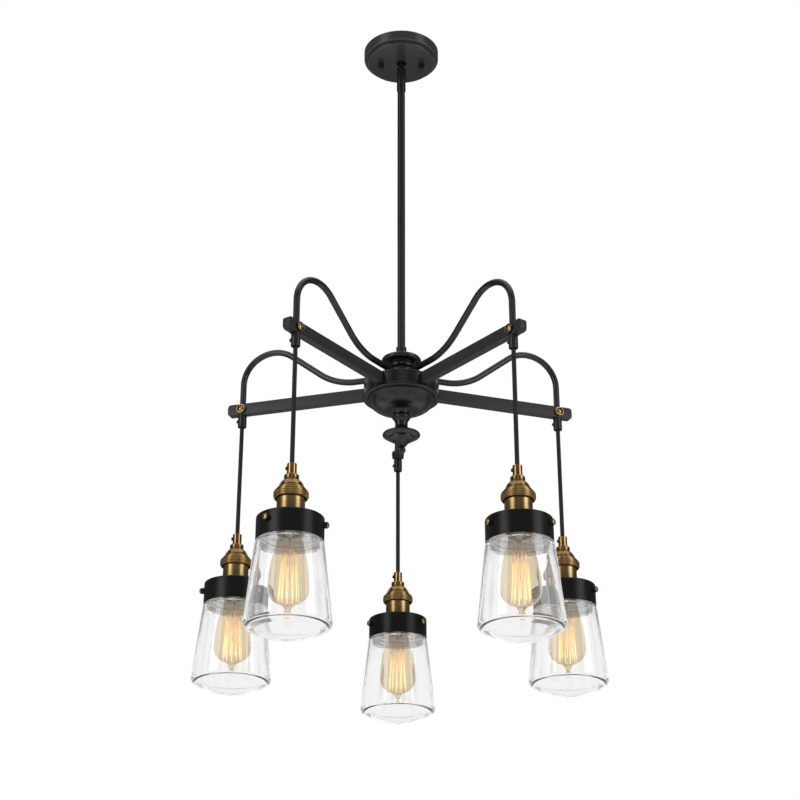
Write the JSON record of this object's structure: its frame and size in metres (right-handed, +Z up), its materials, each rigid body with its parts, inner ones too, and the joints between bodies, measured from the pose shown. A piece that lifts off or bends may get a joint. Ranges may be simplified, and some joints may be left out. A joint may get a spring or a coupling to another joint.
{
  "type": "cluster pendant light",
  "caption": "Arms on a rodded hub under a round canopy, each hanging a clear flared glass pendant with a filament bulb on a short cord, in black metal and antique brass.",
  "frame": {"origin": "middle of the ceiling plane, where the crossbar's top face meets the ceiling box", "axes": "+Z up into the ceiling, X along the crossbar; one arm points along +Y"},
  "size_m": [0.626, 0.6012, 1.1025],
  "materials": {
    "black_metal": "satin",
    "antique_brass": "brushed, aged",
    "plated_steel": "zinc plated",
    "liner_plastic": "matte",
    "cord_jacket": "matte",
    "clear_glass": "polished",
    "amber_glass": "polished"
  },
  "bodies": {
    "ceiling_mount": {"canopy": "black_metal", "crossbar": "plated_steel", "canopy_screws": "plated_steel", "canopy_knobs": "black_metal", "swivel_cup": "black_metal"},
    "swivel_ring": {"swivel_liner": "liner_plastic"},
    "frame": {"swivel_ball": "black_metal", "rod_sleeve": "black_metal", "downrod": "black_metal", "rod_collar": "black_metal", "hub_spool": "black_metal", "hub_drum": "black_metal", "hub_bowl": "black_metal", "hub_pipe": "plated_steel", "finial": "black_metal", "arms": "black_metal", "conduits": "black_metal", "arm_screws": "antique_brass", "arm_washers": "antique_brass", "cord_grips": "black_metal"},
    "hanging_cord_1": {"cord_1": "cord_jacket"},
    "pendant_1": {"cord_clamp_1": "antique_brass", "socket_cap_1": "antique_brass", "lamp_holder_1": "antique_brass", "fitter_1": "black_metal", "fitter_screws_1": "antique_brass", "glass_shade_1": "clear_glass"},
    "screwed_bulb_1": {"bulb_1": "amber_glass"},
    "hanging_cord_2": {"cord_2": "cord_jacket"},
    "pendant_2": {"cord_clamp_2": "antique_brass", "socket_cap_2": "antique_brass", "lamp_holder_2": "antique_brass", "fitter_2": "black_metal", "fitter_screws_2": "antique_brass", "glass_shade_2": "clear_glass"},
    "screwed_bulb_2": {"bulb_2": "amber_glass"},
    "hanging_cord_3": {"cord_3": "cord_jacket"},
    "pendant_3": {"cord_clamp_3": "antique_brass", "socket_cap_3": "antique_brass", "lamp_holder_3": "antique_brass", "fitter_3": "black_metal", "fitter_screws_3": "antique_brass", "glass_shade_3": "clear_glass"},
    "screwed_bulb_3": {"bulb_3": "amber_glass"},
    "hanging_cord_4": {"cord_4": "cord_jacket"},
    "pendant_4": {"cord_clamp_4": "antique_brass", "socket_cap_4": "antique_brass", "lamp_holder_4": "antique_brass", "fitter_4": "black_metal", "fitter_screws_4": "antique_brass", "glass_shade_4": "clear_glass"},
    "screwed_bulb_4": {"bulb_4": "amber_glass"},
    "hanging_cord_5": {"cord_5": "cord_jacket"},
    "pendant_5": {"cord_clamp_5": "antique_brass", "socket_cap_5": "antique_brass", "lamp_holder_5": "antique_brass", "fitter_5": "black_metal", "fitter_screws_5": "antique_brass", "glass_shade_5": "clear_glass"},
    "screwed_bulb_5": {"bulb_5": "amber_glass"}
  },
  "joints": [
    {"name": "swivel_tilt_x", "type": "hinge", "parent": "ceiling_mount", "child": "swivel_ring", "pos_m": [0, 0, -0.00954], "axis": [1, 0, 0], "range_deg": [-12, 12]},
    {"name": "swivel_tilt_y", "type": "hinge", "parent": "swivel_ring", "child": "frame", "pos_m": [0, 0, -0.00954], "axis": [0, 1, 0], "range_deg": [-12, 12]},
    {"name": "cord_swing_1", "type": "hinge", "parent": "frame", "child": "hanging_cord_1", "pos_m": [0.15635, -0.2152, -0.667], "axis": [-0.809, -0.5878, 0], "range_deg": [-12, 12]},
    {"name": "pendant_tilt_1", "type": "hinge", "parent": "hanging_cord_1", "child": "pendant_1", "pos_m": [0.15635, -0.2152, -0.854], "axis": [0.5878, -0.809, 0], "range_deg": [-10, 10]},
    {"name": "bulb_turn_1", "type": "hinge", "parent": "pendant_1", "child": "screwed_bulb_1", "pos_m": [0.15635, -0.2152, -0.9305], "axis": [0, 0, -1], "range_deg": [0, 1080]},
    {"name": "cord_swing_2", "type": "hinge", "parent": "frame", "child": "hanging_cord_2", "pos_m": [0.25298, 0.0822, -0.667], "axis": [0.309, -0.9511, 0], "range_deg": [-12, 12]},
    {"name": "pendant_tilt_2", "type": "hinge", "parent": "hanging_cord_2", "child": "pendant_2", "pos_m": [0.25298, 0.0822, -0.854], "axis": [0.9511, 0.309, 0], "range_deg": [-10, 10]},
    {"name": "bulb_turn_2", "type": "hinge", "parent": "pendant_2", "child": "screwed_bulb_2", "pos_m": [0.25298, 0.0822, -0.9305], "axis": [0, 0, -1], "range_deg": [0, 1080]},
    {"name": "cord_swing_3", "type": "hinge", "parent": "frame", "child": "hanging_cord_3", "pos_m": [0, 0.266, -0.667], "axis": [1, 0, 0], "range_deg": [-12, 12]},
    {"name": "pendant_tilt_3", "type": "hinge", "parent": "hanging_cord_3", "child": "pendant_3", "pos_m": [0, 0.266, -0.854], "axis": [0, 1, 0], "range_deg": [-10, 10]},
    {"name": "bulb_turn_3", "type": "hinge", "parent": "pendant_3", "child": "screwed_bulb_3", "pos_m": [0, 0.266, -0.9305], "axis": [0, 0, -1], "range_deg": [0, 1080]},
    {"name": "cord_swing_4", "type": "hinge", "parent": "frame", "child": "hanging_cord_4", "pos_m": [-0.25298, 0.0822, -0.667], "axis": [0.309, 0.9511, 0], "range_deg": [-12, 12]},
    {"name": "pendant_tilt_4", "type": "hinge", "parent": "hanging_cord_4", "child": "pendant_4", "pos_m": [-0.25298, 0.0822, -0.854], "axis": [-0.9511, 0.309, 0], "range_deg": [-10, 10]},
    {"name": "bulb_turn_4", "type": "hinge", "parent": "pendant_4", "child": "screwed_bulb_4", "pos_m": [-0.25298, 0.0822, -0.9305], "axis": [0, 0, -1], "range_deg": [0, 1080]},
    {"name": "cord_swing_5", "type": "hinge", "parent": "frame", "child": "hanging_cord_5", "pos_m": [-0.15635, -0.2152, -0.667], "axis": [-0.809, 0.5878, 0], "range_deg": [-12, 12]},
    {"name": "pendant_tilt_5", "type": "hinge", "parent": "hanging_cord_5", "child": "pendant_5", "pos_m": [-0.15635, -0.2152, -0.854], "axis": [-0.5878, -0.809, 0], "range_deg": [-10, 10]},
    {"name": "bulb_turn_5", "type": "hinge", "parent": "pendant_5", "child": "screwed_bulb_5", "pos_m": [-0.15635, -0.2152, -0.9305], "axis": [0, 0, -1], "range_deg": [0, 1080]}
  ]
}
